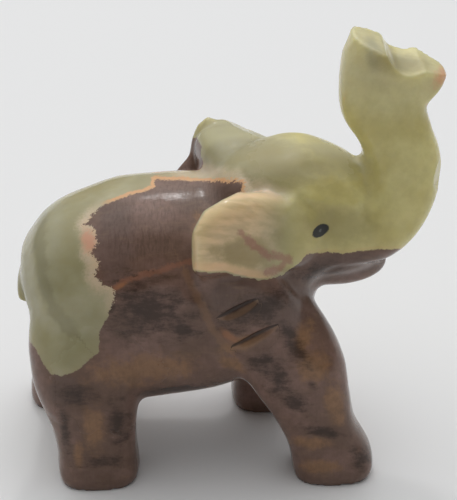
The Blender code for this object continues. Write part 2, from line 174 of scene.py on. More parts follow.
REAR_RIGHT_LEG = (
    (-20.5, -6.5, 33, 9, 6, 2),
    (-23.2, -8.4, 26, 11, 7.8, 2.1),
    (-24.4, -10, 19, 9.6, 7.6, 2.3),
    (-23.8, -11.2, 12, 7.6, 6.8, 2.6),
    (-23.4, -11.8, 6, 6.9, 6.2, 2.9),
    (-23.2, -12, 1.8, 7.2, 6.3, 3.1),
    (-23.2, -12, 0.6, 7.1, 6.2, 3.1),
    (-23.2, -12, -1, 6.2, 5.3, 3.1),
)
REAR_LEFT_LEG = (
    (-21, 6.5, 33, 9, 6, 2),
    (-23.6, 8.4, 26, 10.4, 7.8, 2.1),
    (-25.2, 10, 19, 8.8, 7.6, 2.3),
    (-26.6, 11.2, 12, 7.2, 6.8, 2.6),
    (-28.4, 11.8, 6, 6.9, 6.2, 2.9),
    (-29.2, 12, 1.8, 7.2, 6.3, 3.1),
    (-29.2, 12, 0.6, 7.1, 6.2, 3.1),
    (-29.2, 12, -1, 6.2, 5.3, 3.1),
)
FRONT_RIGHT_LEG = (
    (4, -6.5, 32, 7, 6, 2),
    (7.6, -8.6, 26, 8.4, 6.8, 2.1),
    (11.2, -10.6, 19.5, 8.4, 6.6, 2.3),
    (13.6, -11.8, 13.5, 7, 6.2, 2.6),
    (15.4, -12.6, 8, 6.2, 5.9, 2.9),
    (17.3, -13, 2.6, 7.1, 6.1, 3.1),
    (17.5, -13, 0.8, 7.1, 6, 3.1),
    (17.6, -13, -1, 6.2, 5.1, 3.1),
)
FRONT_LEFT_LEG = (
    (1, 5.5, 35, 7, 6, 2),
    (3, 7.5, 28, 8.4, 7, 2.1),
    (5, 8.8, 21, 8.4, 6.8, 2.3),
    (6.6, 9, 14.5, 7.2, 6.3, 2.6),
    (7.4, 9, 8.5, 6.3, 5.9, 2.9),
    (7.8, 9, 2.6, 6.9, 6.1, 3.1),
    (7.8, 9, 0.8, 6.9, 6, 3.1),
    (7.8, 9, -1, 6, 5.1, 3.1),
)
# The right ear; the left one mirrors it.
EAR = (
    (15, -5, 44.4, 5, 3.6, 2),
    (11, -7.4, 44.8, 6.6, 4.2, 2.2),
    (6.4, -10, 45.6, 7.2, 4.1, 2.4),
    (2, -12.6, 47, 7.4, 3.7, 2.6),
    (-1.6, -14.5, 47.7, 6.8, 3, 2.8),
    (-4, -15.7, 47.3, 6, 2.4, 2.8),
    (-5.4, -16.4, 46.6, 5, 1.9, 2.8),
    (-6.4, -16.8, 46.1, 4.1, 1.5, 2.8),
)
# The stone left between each ear and the neck.
EAR_BACKING = (
    (6.4, -8.6, 44.4, 6.6, 4, 2.2),
    (1, -11, 45, 6.2, 4.2, 2.2),
    (-3.6, -12.4, 43.8, 5.2, 3.8, 2.2),
    (-5.8, -13, 42.4, 3.6, 3.2, 2.2),
)
# The left ear's own upper corner, and the stone that runs from its rear edge into the back.
LEFT_EAR_CORNER = (
    (3, 13, 49.8, 2.2, 1.6, 2),
    (-0.6, 14.4, 52.1, 1.9, 1.5, 2),
    (-3.4, 15.4, 54.3, 0.9, 0.9, 2),
)
LEFT_EAR_HEEL = (
    (-3.6, 15.2, 53.6, 0.9, 0.9, 2),
    (-4.4, 14.6, 50.8, 1.3, 1.2, 2),
    (-4.4, 13.4, 47.6, 2, 1.8, 2),
    (-6.2, 12.4, 45, 2.4, 2, 2),
    (-9, 11.6, 42.4, 2.2, 1.8, 2),
)
# The stone left between the left ear's back and the crown.
LEFT_EAR_SADDLE = (
    (4.6, 1, 47.6, 5, 6, 2.4),
    (3.8, 4, 49, 5.6, 6.6, 2.8),
    (3, 7, 49.6, 5.4, 6.8, 3),
    (1.4, 10, 49.9, 4.9, 6.5, 3),
    (-0.2, 13, 50.1, 4.3, 5.4, 2.8),
    (-1, 15, 49.8, 3.6, 4.4, 2.6),
)

# Lines of carving on the sides, as x and z.
UPPER_SLASH = ((-2.7, 33.0), (4.1, 37.0))
LOWER_SLASH = ((-0.5, 27.0), (7.4, 31.7))
SHOULDER_FOLD = ((-7.2, 42.6), (-4.6, 36.0), (-1.9, 29.5), (1.1, 23.6), (-0.8, 17.6))
ELBOW_FOLD = ((1.1, 23.6), (4.6, 23.8), (8.6, 26.2))
BROW = ((7.2, 50.0), (9.5, 51.6), (11.4, 52.1), (14.7, 50.6), (18.5, 49.6), (21.8, 49.1))
MOUTH = ((27.4, 35.6), (23.4, 37.0), (18.6, 37.4), (14.6, 36.6))
TRUNK_ROOT_FOLD = ((20.6, 56.0), (23.0, 52.2), (22.6, 48.6), (21.2, 46.4))

# Planes ground flat: a point on the plane, the way that it faces, and how far it reaches.
FACETS_BOTH_SIDES = (
    ((-6.6, -17.5, 46.6), (-0.78, -0.62, 0.05), 6),
    ((30.8, -4.7, 69), (0.48, -0.86, -0.10), 5),
    ((20.6, -5.2, 68), (-0.60, -0.80, 0), 6),
)
FACETS = (
    ((-1.7, -14.5, 54.4), (-0.485, 0.478, 0.735), 8),
    ((-5.9, -16.8, 51.4), (-0.85, 0.25, 0.42), 5),
    ((4, 13, 53.2), (0.396, 0.303, 0.867), 7.5),
    ((33.3, 0, 59.8), (0.96, 0, 0.28), 2.6),
    ((35.1, 0, 55.4), (0.99, 0, 0.10), 2.6),
    ((23.2, -12.8, 6.5), (0.86, 0, 0.50), 5),
    ((-30.3, -15.4, 8), (-0.75, -0.66, 0), 7),
    ((-16.9, -16, 8), (0.75, -0.66, 0), 6),
)

# The hollow at the trunk's tip, seen from the side, and the lip that slopes down to the front.
SCOOP_CENTRE = (28.9, 75.0)
SCOOP_FRONT_ANGLE = -52.0
LIP_SLOPE = ((35.3, 69.5), (39.0, 66.6))
SCOOP_TILT = 4.0
TIP_PLANE = ((20.4, 0.0, 76.1), (0.42, -0.03, 0.93))
CUTTER_REACH = 12.0

# Finer tool marks, which only the finished stone has
FINE_FACETS = (
    ((32.4, -3.6, 61.2), (0.78, -0.60, 0.18), 2.8),
    ((31.3, -4, 65.2), (0.66, -0.74, -0.14), 2),
    ((34.6, -2.6, 52), (0.90, -0.42, -0.08), 3),
    ((33, 0, 43.6), (0.90, 0, -0.44), 3),
    ((30.2, -1, 39.4), (0.74, -0.10, -0.66), 3),
    ((26.2, -2.6, 35.8), (0.86, -0.50, 0.12), 1.8),
    ((15, -6.4, 54.5), (0.24, -0.56, 0.79), 6),
    ((6.3, -14, 50.6), (0.55, -0.79, 0.26), 1.5),
)
EAR_FOLD = ((1.3, 54.6), (3.1, 53.2), (4.9, 52.2))
EAR_RIDGE = ((-4.7, 43.7), (-2.0, 45.0), (0.6, 45.1), (3.0, 46.2))
EAR_UNDERFOLD = ((-3.4, 45.8), (0.4, 47.0), (4.0, 48.6))
FINE_FOLD_HALF_WIDTH = 0.55
FINE_FOLD_DEPTH = 0.16
UNEVEN_SIZE = 5.0
UNEVEN_DEPTH = 0.10
GRIND_MARK_SIZE = 1.6
GRIND_MARK_DEPTH = 0.022
SOLE_SKIN = 0.25

# The layers of the stone lean: the ways across the figure and up the leaning sheet, and how the
# sheet bends down over the far side.
LAYER_ACROSS = np.array((0.9986, -0.0523, 0.0))
LAYER_UP = np.array((0.0262, 0.4993, 0.8660))
FAR_SIDE_BEND = 1.8
FAR_SIDE_START = 5.0
FAR_SIDE_SOFTNESS = 1.5

# Outlines and veins in the leaning sheet, as how far across and how far up. An ear is told from the
# neck by its rear corner and the way that it faces, as x and y.
BROWN_STONE = (
    (-32, 15.5), (-29.5, 11.5), (-27.5, 11), (-25, 12), (-21.5, 15), (-21, 18.5), (-19.5, 21.5),
    (-18.5, 24), (-18.7, 25.5), (-20, 26), (-21.8, 27.5), (-21, 30), (-22.5, 31.3), (-21.2, 33.2),
    (-22, 35.5), (-23.5, 36), (-22, 38), (-20.3, 39.5), (-16, 41), (-12.2, 42.2), (-12.4, 43.6),
    (-8, 43.5), (-3, 43.3), (1.2, 43.1), (2.2, 42.8), (2.2, 41.5), (1.2, 39.3), (0, 37.5), (-2, 36.5),
    (-3.5, 34.5), (-4.5, 30.5), (-4.5, 28.7), (-3, 28.4), (-0.5, 28.5), (1, 28), (3, 27.6), (5.4, 27.2),
    (7, 27.4), (9, 28.1), (10.3, 30), (11.8, 30.9), (13.3, 31.3), (16.6, 31.7), (18.4, 31.4),
    (22.8, 31.9), (25.2, 32.2), (45, 31.9), (45, -40), (-50, -40), (-50, 22), (-38, 22),
)
EAR_OUTLINE = (
    (1.5, 41.6), (-1.8, 41.2), (-4.9, 39.6), (-7.2, 36.8), (-8, 33.8), (-8.2, 31), (-7.6, 28.5),
    (-4.5, 28.5), (-3, 28.3), (-0.5, 28.4), (1, 27.9), (3, 27.5), (5.4, 27.1), (7, 27.3), (9, 28),
    (12, 30), (14, 34), (12, 39), (6, 42),
)
EAR_REAR = (-6.4, -16.8)
EAR_OUTWARD = (0.42, -0.91)
EAR_HALF_THICKNESS = 2.4
EAR_BACK_THICKNESS = 6.0
EAR_CLEAR = 0.6
FAR_EAR_BAND = (
    (-12, 44), (-12, 51.6), (-5.4, 51.4), (-4.6, 49.6), (-4.6, 47.6), (-3.6, 46.2), (-1.4, 45.3),
    (-2, 44),
)
FAR_BAND_START = 6.0
FLANK_VEIN = ((-22.0, 23.0), (-18.7, 25.4), (-16.9, 26.9), (-12.7, 28.2), (-9.4, 29.0), (-3.0, 31.0))
# The shoulder's ridge, along which a tan painted highlight runs
SHOULDER_RIDGE = ((-6.9, 28.2), (-4.2, 22.8), (-2.7, 19.0), (0.4, 15.0))
RUMP_VEIN = ((-31.5, 38.0), (-31.2, 32.4), (-30.3, 26.8), (-28.7, 22.1), (-25.6, 18.6))
PINK_VEINS = (
    ((2, 34.6), (4.2, 32.6), (6.6, 31), (10, 30.4)),
    ((9.6, 30.6), (8.4, 29.2), (6.2, 28.2)),
)

# Patches of colour in the sheet: middle across and up, half length, half height, tilt in degrees.
PATCHES = {
    "dark": (
        (-13.4, 22, 10, 6.4, -6), (-7, 18.6, 4, 2.4, -10), (-9, 8.2, 9, 1.2, 6), (4, 21.8, 8, 3.2, 24),
        (8.2, 10.2, 2.8, 4.4, 15), (5.8, 13.4, 3, 2.2, 20), (11.4, 6.2, 3.6, 1.8, -15),
        (16, 1.2, 5, 1.2, -14), (22.9, -3.6, 2.6, 2.6, 0), (-18.6, 3, 2.3, 5.6, 4),
        (-25, 7.6, 4, 2.6, -10), (-27.4, 2, 1.2, 5, 4), (14, 9.6, 1.6, 0.9, -30), (-22, -4.2, 5, 1.4, 0),
        (14.6, 28.4, 6, 2, 8), (10.6, 16.6, 2, 5, 28),
    ),
    "tan": (
        (-14, 12, 12, 3.6, 6), (14, 12.6, 3.6, 3.8, 30), (12.4, 17.4, 2.2, 4, -30), (18, 6, 2.4, 5, 10),
        (13.8, -0.8, 4, 1.6, 0), (16, -5.2, 4.6, 1.8, 0), (-22.6, 2, 2.6, 5.6, 2),
        (-25.4, -3, 1.2, 3.6, 0), (0.6, 13, 3.2, 1.6, -30), (2, 16.4, 5, 1.6, 26), (-4, 34, 2, 6, 10),
    ),
    "purple": (
        (-18.6, 33, 4.2, 8, 0), (2, 24.6, 6, 4, 10), (0, 41, 3.4, 2, 0), (20, 29.6, 9, 2.4, 0),
        (9, 22, 5, 3.6, -20), (-27, 8.6, 4, 3, 0),
    ),
    "orange": ((0.2, 17.6, 2.6, 1, -40), (-17.6, 26, 2.6, 0.6, 30)),
    "peach": ((-22.6, 33.3, 1.7, 2.6, 15), (34.8, 60.2, 1.9, 3.2, -35)),
    "cream": ((-22, 31, 2.4, 8, 12), (-4.6, 44.6, 10, 1.6, 0), (6, 41.2, 5, 2.2, -14)),
    # painted shade over the lower part of each ear, which faces down
    "ear_painted_shade": ((3, 31, 7, 3.6, -4), (12, 33.6, 7, 3, 0)),
    # painted shade: darker olive over the cheek, the crown, the top of the rump and the trunk
    "painted_shade": (
        (18, 36, 9, 4.6, -6), (8, 46.6, 11, 4.6, -8), (-24, 43, 11, 3.4, 14), (27, 61.4, 7, 2.6, 0),
    ),
    "satin": ((12, 46.6, 11, 6, -8), (-20, 10, 12, 12, 0)),
    # grey-green tone; on the crown and the top of the back it is a painted sheen, the sky's reflection
    # on faces turned up
    "grey": (
        (11, 46.4, 9, 5, -10), (17, 47.2, 8, 4.6, -15), (23, 63, 2, 4, 10), (-30, 34, 4, 14, 0),
        (28, 61.8, 5, 2.2, 0), (0, 50, 9, 4, 0),
    ),
    "worn": ((-7.5, 41.6, 8, 3.2, 0),),
    "scratched": ((-7, 40.6, 8, 4, 0), (-14, 36, 8, 8, 0)),
}

# Where the border of the brown layer is warm, or cream, as patches
WARM_BACK = ((-5.0, 43.0, 14.0, 3.0, 0.0), (-15.5, 41.2, 6.0, 2.4, 15.0))
WARM_REST = ((18.0, 31.0, 14.0, 3.0, 0.0), (-21.0, 33.0, 2.6, 5.0, 20.0))
WARM_RISE = 2.5
WARM_REST_SHARE = 0.12
CREAM_RUMP = ((-21.0, 31.0, 7.0, 12.0, 25.0), (3.0, 42.0, 9.0, 3.0, 0.0))
CREAM_RISE = 2.0
LEAST_CREAM = 0.1

# The back of the far ear begins at this y and z, ends at this x and faces out by less than this.
FAR_EAR = (6.0, 46.5)
FAR_BACK_END = 12.0
FAR_FACE = 0.75
FAR_FACE_SCALE = 8.0

# The drawn eye, with a painted glint in its middle, in layout units
EYE = (14.5, 45.8)
EYE_RADII = (1.45, 1.15)
EYE_GLINT_RADIUS = 0.32

# How the stone shines
SHINE = {
    "IOR": 1.5,
    "Specular IOR Level": 0.36,
    "Subsurface Radius": (1.0, 0.85, 0.5),
    "Subsurface Scale": 0.006,
}
BROWN_OPAQUE = 0.06
DULLEST = 0.26
SATIN = 0.22
MARK_HEIGHT = 0.00003
GRAIN_DEPTH = 0.5
SCRATCH_DEPTH = 2.0
LEAST_SCRATCH = 0.25
WORN_DEPTH = 2.6

# How far the borders of the layers stray
NOISE_MIDDLE = 0.5
SMOOTH_SEAM = 0.5
BROKEN_SEAM = 2.2
EAR_BREAK = (0.4, 0.3)
INK_BREAK = (0.3, 0.3)
LAYER_BREAK = 2.8

# Colours of the stone, as a screen shows them
RUMP_GREEN = (160, 154, 118)
RUMP_PALE = (180, 174, 142)
HEAD_OLIVE = (206, 194, 128)
HEAD_PALE = (222, 213, 150)
TIP_PALE = (212, 206, 168)
# dark olive of the green stone's fine clouds, and the colour of its painted shade
DARK_OLIVE_AND_PAINTED_SHADE = (158, 145, 92)
GREY_GREEN = (172, 168, 142)
DARK_GREEN = (112, 108, 78)
CREAM = (214, 194, 166)
PEACH = (218, 158, 130)
PINK = (160, 92, 90)
EAR_CREAM = (230, 206, 166)
# olive of the ears' streaks, and the colour of their painted shade
EAR_OLIVE = (166, 148, 104)
EAR_RIM = (236, 200, 158)
EAR_BACK = (177, 171, 134)
ORANGE_TAN = (216, 168, 122)
BROWN = (114, 88, 74)
PURPLE_BROWN = (138, 108, 96)
TAN = (152, 115, 84)
PALE_TAN = (150, 120, 96)
DARK_BROWN = (45, 30, 22)
DEEP_BROWN = (78, 58, 46)
PURPLE = (108, 88, 80)
RED_VEIN = (158, 106, 82)
ORANGE_STAIN = (172, 118, 80)
# painted light on the slashes' lower walls
PAINTED_LIT_WALL = (152, 120, 92)
INK = (8, 9, 13)
# painted glint in the eye
PAINTED_EYE_GLINT = (110, 112, 104)

# Noise in the stone: size in layout units, detail and, where not plain, stretch and roughness
BREAK_NOISE = (2.2, 3.0)
SPECK_NOISE = (0.5, 4.0, (1.0, 1.0, 1.0), 0.7)
LAYER_NOISE = (1.6, 5.0, (3.2, 1.0, 1.6), 0.7)
GRAIN_NOISE = (0.45, 3.0)
SCRATCH_NOISE = (0.5, 3.0, (1.6, 0.8, 1.2), 0.7)

# Clouds and streaks: the noise of each, and where it begins and is full
CLOUDS = {
    "green_broad": ((9.0, 3.0), 0.35, 0.65),
    "green_fine": ((1.8, 5.0, (1.0, 1.0, 1.0), 0.65), 0.3, 0.75),
    "brown_broad": ((7.0, 4.0, (1.4, 1.0, 1.0)), 0.35, 0.65),
    "brown_fine": ((1.4, 5.0, (1.0, 1.0, 1.0), 0.7), 0.3, 0.75),
    "brown_strokes": ((0.45, 4.0, (0.9, 7.0, 3.0), 0.65), 0.42, 0.66),
    "ear_streaks": ((1.2, 4.0, (3.6, 1.0, 1.0)), 0.35, 0.7),
    "dull": ((3.0, 4.0), 0.3, 0.8),
}

# Patches: how far the border strays coarsely and finely, where the patch begins and is full, and
# how strongly it covers, with its colour
STAINS = {
    # grey-green tone, partly a painted sheen
    "grey": (0.5, 0.2, 0.0, 0.7, 0.6, GREY_GREEN),
    # painted shade on the green stone
    "painted_shade": (0.5, 0.2, 0.0, 0.7, 0.6, DARK_OLIVE_AND_PAINTED_SHADE),
    "cream": (0.8, 0.5, -0.1, 0.9, 0.7, CREAM),
    "peach": (1.0, 1.0, -0.1, 0.8, 0.75, PEACH),
    # painted shade on the ears
    "ear_painted_shade": (0.9, 0.3, 0.0, 0.6, 0.85, EAR_OLIVE),
    "purple": (0.8, 0.3, 0.0, 0.4, 0.6, PURPLE),
    "tan": (1.2, 0.8, 0.0, 0.7, 0.9, TAN),
    "dark": (1.0, 0.8, -0.15, 1.0, 0.86, DARK_BROWN),
    "orange": (0.8, 0.6, 0.0, 0.8, 0.6, ORANGE_STAIN),
}

# Veins: how far each strays coarsely and finely, its half width, strength and colour
VEINS = {
    "rump_vein": (2.4, 0.4, 1.6, 0.3, DARK_GREEN),
    # painted highlight along the shoulder's ridge
    "ridge_highlight": (1.2, 1.2, 0.9, 0.4, TAN),
    "vein": (1.4, 1.6, 0.7, 0.5, RED_VEIN),
    "pink": (2.0, 1.6, 1.0, 0.52, PINK),
}
LINE_CORE = 0.3

# Painted light on the lower wall of each slash and painted shadow on its upper wall: place up its
# hollow, half width, strength and colour
SLASH_WALL_LIGHT_AND_SHADE = ((-0.6, 0.6, 0.4, PAINTED_LIT_WALL), (0.3, 0.6, 0.85, DARK_BROWN))

# Where each of these begins and is full, in layout units or as a share
TIP_RUN = (60.0, 74.0)
HEAD_RUN = (4.0, 14.0)
LAYER_RUN = (0.5, 0.7)
BROWN_RUN = (-0.08, 0.15)
HALO_RUN = (-2.4, 0.2)
EAR_RUN = (-0.1, 0.4)
EAR_FACE_RUN = (-0.4, 0.1)
EAR_FRONT_RUN = (2.0, 10.0)
EAR_BACK_RUN = (-1.0, 1.5)
EAR_RIM_RUN = (1.0, 2.0)
INK_RUN = (0.9, 1.1)
EYE_GLINT_RUN = (0.4, 1.2)
PATCH_RUN = (0.0, 0.5)
SCRATCH_RUN = (0.0, 0.6)

# How strongly each of these covers
TIP_SHARE = 0.7
GREEN_FINE_SHARE = 0.2
LAYER_SHARE = 0.35
BROWN_FINE_SHARE = 0.35
STROKE_SHARE = 0.32
LEAST_STROKES = 0.3
EAR_STREAK_SHARE = 0.4
EAR_RIM_SHARE = 0.7
INK_SHARE = 0.97
EYE_GLINT_SHARE = 0.7

# The warm line along the brown layer's border
WARM_LINE_OUTSIDE = 0.2
WARM_LINE_HALF_WIDTH = 0.42

# The mix node's sockets for colours: share, first colour, second colour and result
MIX_SHARE, MIX_FIRST, MIX_SECOND, MIX_RESULT = 0, 6, 7, 2

# The studio, in metres
FLOOR_ROUGHNESS = 0.6
ROOM_COLOUR = (0.99, 0.995, 1.0, 1.0)
BRIGHTEST_WAY = (-0.05, 0.34, 0.94)
CEILING_FALLOFF = 3.0
LAMP_PLACE = (-0.02, 0.33, 0.56)
LAMP_SIZE = 0.05
LAMP_AIM = (0.0, 0.0, 0.035)
LENS = 113.82
CLIP_START = 0.01
CAMERA_PLACE = (-0.01175, -0.23309, 0.17185)
CAMERA_TARGET = (0.00049, 0.00042, 0.03685)


def spline(rows, steps):
    """Rows of numbers on a Catmull-Rom curve through the given rows, steps of them for each gap."""
    rows = np.array(rows, float)
    ends = np.vstack([2 * rows[0] - rows[1], rows, 2 * rows[-1] - rows[-2]])
    made = []
    for a, b, c, d in zip(ends, ends[1:], ends[2:], ends[3:]):
        for t in np.arange(steps) / steps:
            bend = (2 * a - 5 * b + 4 * c - d) * t**2 + (3 * b - a - 3 * c + d) * t**3
            made.append(b + 0.5 * ((c - a) * t + bend))
    return np.array(made + [rows[-1]])


def near_path(points, path):
    """How far each point is from a side line, signed, and how far along it, from 0 to 1."""
    flat = points[:, [0, 2]]
    path = np.array(path, float)
    total = np.linalg.norm(np.diff(path, axis=0), axis=1).sum()
    nearest = np.full(len(points), np.inf)
    share = np.zeros(len(points))
    done = 0.0
    for a, b in zip(path, path[1:]):
        length = np.linalg.norm(b - a)
        run = (b - a) / length
        t = np.clip((flat - a) @ run, 0.0, length)
        offset = flat - a - t[:, None] * run
        gap = np.copysign(np.linalg.norm(offset, axis=1), offset @ np.array((-run[1], run[0])))
        closer = np.abs(gap) < np.abs(nearest)
        nearest[closer] = gap[closer]
        share[closer] = (done + t[closer]) / total
        done += length
    return nearest, share


def fold(points, path, half_width, depth, offset=0.0):
    """A soft groove along a side line, or beside it, that fades out at both ends."""
    gap, share = near_path(points, path)
    fade = np.clip(np.minimum(share, 1 - share) / FOLD_FADE, 0, 1)
    return depth * fade * np.exp(-(((gap - offset) / half_width) ** 2))


def grind(points, at, facing, reach):
    """Flattens what stands proud of a plane, near a point of it."""
    facing = np.array(facing) / np.linalg.norm(facing)
    offset = points - np.array(at)
    proud = np.clip(offset @ facing, 0, None)
    near = np.clip((reach - np.linalg.norm(offset, axis=1)) / (FACET_RIM * reach), 0, 1)
    points -= (proud * near)[:, None] * facing


def linear(red, green, blue):
    """A screen colour, 0 to 255 each, as the light it stands for."""
    made = []
    for value in (red, green, blue):
        share = value / 255
        made.append(share / 12.92 if share <= 0.04045 else ((share + 0.055) / 1.055) ** 2.4)
    return tuple(made)


def ring(bm, station, along, across):
    """One superellipse ring of vertices, square to along."""
    rise = along.cross(across).normalized()
    across = rise.cross(along).normalized()
    half_rise, half_across, squareness = station[3:]
    made = []
    for i in range(RING_POINTS):
        turn = 2 * math.pi * i / RING_POINTS
        c, s = math.cos(turn), math.sin(turn)
        u = math.copysign(abs(c) ** (2 / squareness), c) * half_rise
        v = math.copysign(abs(s) ** (2 / squareness), s) * half_across
        made.append(bm.verts.new(Vector(station[:3]) + rise * u + across * v))
    return made


def add_limb(bm, stations, along=None, mirror=False, forward=0.0):
    """A closed tube through the stations, added to bm. Its rings are square to its run, or to along."""
    rows = spline(stations, STEPS_BETWEEN_STATIONS)
    rows[:, 0] += forward
    across = Vector(ACROSS_BODY)
    if along:
        across = Vector(along).cross(UP)
    if mirror:
        rows[:, 1] *= -1
        across.x *= -1
    start = len(bm.faces)
    rings = []
    for i, row in enumerate(rows):
        before, after = rows[max(i - 1, 0)], rows[min(i + 1, len(rows) - 1)]
        run = Vector(after[:3] - before[:3])
        if along:
            run.z = 0
        rings.append(ring(bm, row, run.normalized(), across))
    for lower, upper in zip(rings, rings[1:]):
        for i in range(RING_POINTS):
            j = (i + 1) % RING_POINTS
            bm.faces.new((lower[i], lower[j], upper[j], upper[i]))
    bm.faces.new(list(reversed(rings[0])))
    bm.faces.new(rings[-1])
    bm.faces.ensure_lookup_table()
    bmesh.ops.recalc_face_normals(bm, faces=bm.faces[start:])


def mesh_object(name, bm):
    mesh = bpy.data.meshes.new(name)
    bm.to_mesh(mesh)
    bm.free()
    obj = bpy.data.objects.new(name, mesh)
    bpy.context.scene.collection.objects.link(obj)
    return obj


def applied(obj):
    """Gives obj the mesh that its modifiers make, and removes them."""
    graph = bpy.context.evaluated_depsgraph_get()
    made = bpy.data.meshes.new_from_object(obj.evaluated_get(graph))
    obj.modifiers.clear()
    obj.data = made
    return obj


def fuse(obj, voxel, smoothing):
    """Makes one skin of the closed shapes in obj, and rubs it smooth."""
    remesh = obj.modifiers.new("Fuse", "REMESH")
    remesh.mode = "VOXEL"
    remesh.voxel_size = voxel
    smooth = obj.modifiers.new("Rub", "SMOOTH")
    smooth.iterations = smoothing
    return applied(obj)


def rough_block():
    """Body, legs, head and trunk, blended into each other."""
    bm = bmesh.new()
    legs = (REAR_RIGHT_LEG, REAR_LEFT_LEG, FRONT_RIGHT_LEG, FRONT_LEFT_LEG)
    for stations in (TORSO, NECK, CROWN, TRUNK, LOWER_JAW, SHOULDER) + legs:
        add_limb(bm, stations)
    add_limb(bm, SHOULDER, mirror=True)
    return fuse(mesh_object("onyx_elephant", bm), ROUGH_VOXEL, BLEND_STEPS)


def add_ears_and_tail(elephant):
    bm = bmesh.new()
    bm.from_mesh(elephant.data)
    for mirror, forward in ((False, 0.0), (True, LEFT_EAR_FORWARD)):
        add_limb(bm, EAR, ALONG_EAR, mirror, forward)
        add_limb(bm, EAR_BACKING, ALONG_EAR, mirror, forward)
    for stations in (LEFT_EAR_CORNER, LEFT_EAR_HEEL, TAIL):
        add_limb(bm, stations)
    add_limb(bm, LEFT_EAR_SADDLE, ACROSS_BODY)
    bm.to_mesh(elephant.data)
    bm.free()
    fuse(elephant, SHAPE_VOXEL, POLISH_STEPS)


def read_points(mesh, kind="co"):
    """Every vertex's place, or its normal, as rows of three."""
    values = np.empty(len(mesh.vertices) * 3)
    mesh.vertices.foreach_get(kind, values)
    return values.reshape(-1, 3)


def write_points(mesh, points):
    mesh.vertices.foreach_set("co", points.ravel())
    mesh.update()


def carve(elephant):
    """The lines and facets that the carver cut, on both sides of the figure."""
    mesh = elephant.data
    points = read_points(mesh)
    normals = read_points(mesh, "normal")
    on_side = np.clip((np.abs(points[:, 1]) - MIDDLE_LEFT_PLAIN) / SIDE_BLEND, 0, 1)
    on_side *= np.clip(np.abs(normals[:, 1]) / SIDEWAYS_ENOUGH, 0, 1)
    depth = fold(points, SHOULDER_FOLD, FOLD_HALF_WIDTH, FOLD_DEPTH)
    depth -= fold(points, SHOULDER_FOLD, FOLD_HALF_WIDTH, LIP_HEIGHT, -LIP_OFFSET)
    depth += fold(points, ELBOW_FOLD, FOLD_HALF_WIDTH, SOFT_FOLD_DEPTH)
    depth += fold(points, TRUNK_ROOT_FOLD, FOLD_HALF_WIDTH, SOFT_FOLD_DEPTH)
    depth += fold(points, MOUTH, MOUTH_HALF_WIDTH, MOUTH_DEPTH)
    depth -= fold(points, BROW, BROW_HALF_WIDTH, BROW_HEIGHT)
    points -= (depth * on_side)[:, None] * normals
    for at, facing, reach in FACETS:
        grind(points, at, facing, reach)
    for at, facing, reach in FACETS_BOTH_SIDES:
        for side in ((1, 1, 1), (1, -1, 1)):
            grind(points, np.multiply(at, side), np.multiply(facing, side), reach)
    write_points(mesh, points)


def scoop_cutter():
    """The block that leaves the trunk's tip hollow, with a lip that slopes down to the front."""
    outline = []
    for i in range(SCOOP_STEPS + 1):
        turn = math.radians(180 + (180 + SCOOP_FRONT_ANGLE) * i / SCOOP_STEPS)
        x = SCOOP_CENTRE[0] + SCOOP_RADIUS * math.cos(turn)
        z = SCOOP_CENTRE[1] + SCOOP_RADIUS * math.sin(turn)
        outline.append((x, z))
    outline += LIP_SLOPE
    top = SCOOP_CENTRE[1] + CUTTER_REACH
    outline += [(LIP_SLOPE[-1][0], top), (outline[0][0], top)]
    bm = bmesh.new()
    face = bm.faces.new([bm.verts.new((x, -CUTTER_REACH, z)) for x, z in outline])
    bmesh.ops.recalc_face_normals(bm, faces=bm.faces[:])
    made = bmesh.ops.extrude_face_region(bm, geom=[face])
    moved = [item for item in made["geom"] if isinstance(item, bmesh.types.BMVert)]
    bmesh.ops.translate(bm, verts=moved, vec=(0, 2 * CUTTER_REACH, 0))
    bmesh.ops.recalc_face_normals(bm, faces=bm.faces[:])
    about = Vector((SCOOP_CENTRE[0], 0, SCOOP_CENTRE[1]))
    turn = Matrix.Rotation(math.radians(SCOOP_TILT), 3, "X")
    bmesh.ops.rotate(bm, cent=about, matrix=turn, verts=bm.verts)
    return mesh_object("scoop_cutter", bm)


def slash_cutter(elephant, path, side):
    """A lens-shaped wedge that follows the skin, with its steeper wall above."""
    skin = BVHTree.FromObject(elephant, bpy.context.evaluated_depsgraph_get())
    start, end = (Vector((x, 0, z)) for x, z in path)
    run = (end - start).normalized()
    upward = Vector((-run.z, 0, run.x))
    inward = Vector((0, -side, 0))
    bm = bmesh.new()
    sections = []
    for i in range(SLASH_SECTIONS):
        share = i / (SLASH_SECTIONS - 1)
        swell = max(math.sqrt(4 * share * (1 - share)), THINNEST_SECTION)
        ray = start.lerp(end, share) - inward * LAYOUT_HEIGHT
        at = skin.ray_cast(ray, inward)[0]
        wide = upward * (SLASH_HALF_WIDTH * swell)
        deep = inward * (SLASH_DEPTH * swell)
        bottom = at + SLASH_RAKE * wide + deep
        above = at + wide + SLASH_CLEAR * (at + wide - bottom)
        below = at - wide + SLASH_CLEAR * (at - wide - bottom)
        sections.append([bm.verts.new(corner) for corner in (above, bottom, below)])
    for one, two in zip(sections, sections[1:]):
        for i in range(3):
            j = (i + 1) % 3
            bm.faces.new((one[i], one[j], two[j], two[i]))
    bm.faces.new(sections[0])
    bm.faces.new(sections[-1])
    bmesh.ops.recalc_face_normals(bm, faces=bm.faces[:])
    return mesh_object("slash_cutter", bm)


def cut_away(elephant, cutter):
    cut = elephant.modifiers.new("Cut", "BOOLEAN")
    cut.operation = "DIFFERENCE"
    cut.object = cutter
    applied(elephant)
    bpy.data.objects.remove(cutter)


def saw(elephant, at, facing):
    """Saws the block off flat, square to facing."""
    bm = bmesh.new()
    bm.from_mesh(elephant.data)
    geom = bm.verts[:] + bm.edges[:] + bm.faces[:]
    made = bmesh.ops.bisect_plane(bm, geom=geom, plane_co=at, plane_no=facing, clear_outer=True)
    rim = [item for item in made["geom_cut"] if isinstance(item, bmesh.types.BMEdge)]
    bmesh.ops.holes_fill(bm, edges=rim)
    bm.to_mesh(elephant.data)
    bm.free()


